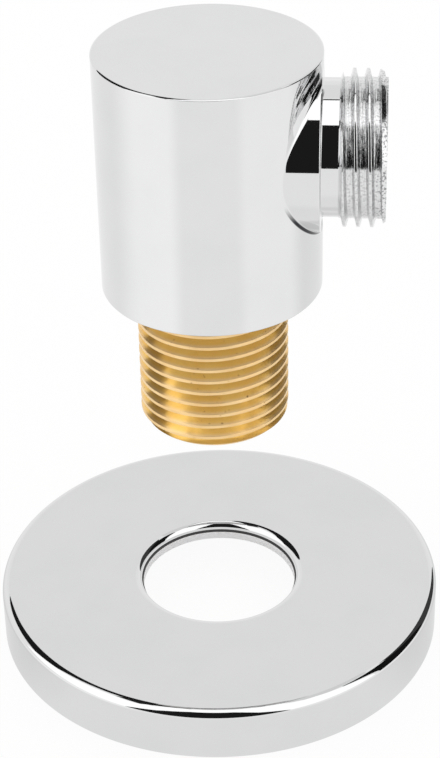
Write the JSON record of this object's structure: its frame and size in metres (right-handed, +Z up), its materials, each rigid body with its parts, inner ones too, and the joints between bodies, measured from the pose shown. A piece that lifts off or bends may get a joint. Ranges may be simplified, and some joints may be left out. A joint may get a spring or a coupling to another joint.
{
  "type": "shower wall outlet connector",
  "caption": "Chromed cylindrical wall elbow with a male threaded side outlet, a bare brass male threaded inlet and a loose round wall flange.",
  "frame": {"origin": "on the inlet axis, in the body's bottom face, where the inlet thread begins", "axes": "+Z up the inlet axis into the body, +X along the outlet, pointing out of it"},
  "size_m": [0.065, 0.065, 0.0927],
  "materials": {
    "chrome_plate": "polished chrome plate",
    "raw_brass": "turned, unplated",
    "grey_plastic": "plain moulded"
  },
  "bodies": {
    "fitting": {"elbow_body": "chrome_plate", "inlet_nipple": "raw_brass"},
    "flange": {"wall_flange": "chrome_plate", "centring_ring": "grey_plastic"}
  },
  "joints": [
    {"name": "flange_slide", "type": "slide", "parent": "fitting", "child": "flange", "axis": [0, 0, 1], "range_m": [0, 0.05035]}
  ]
}
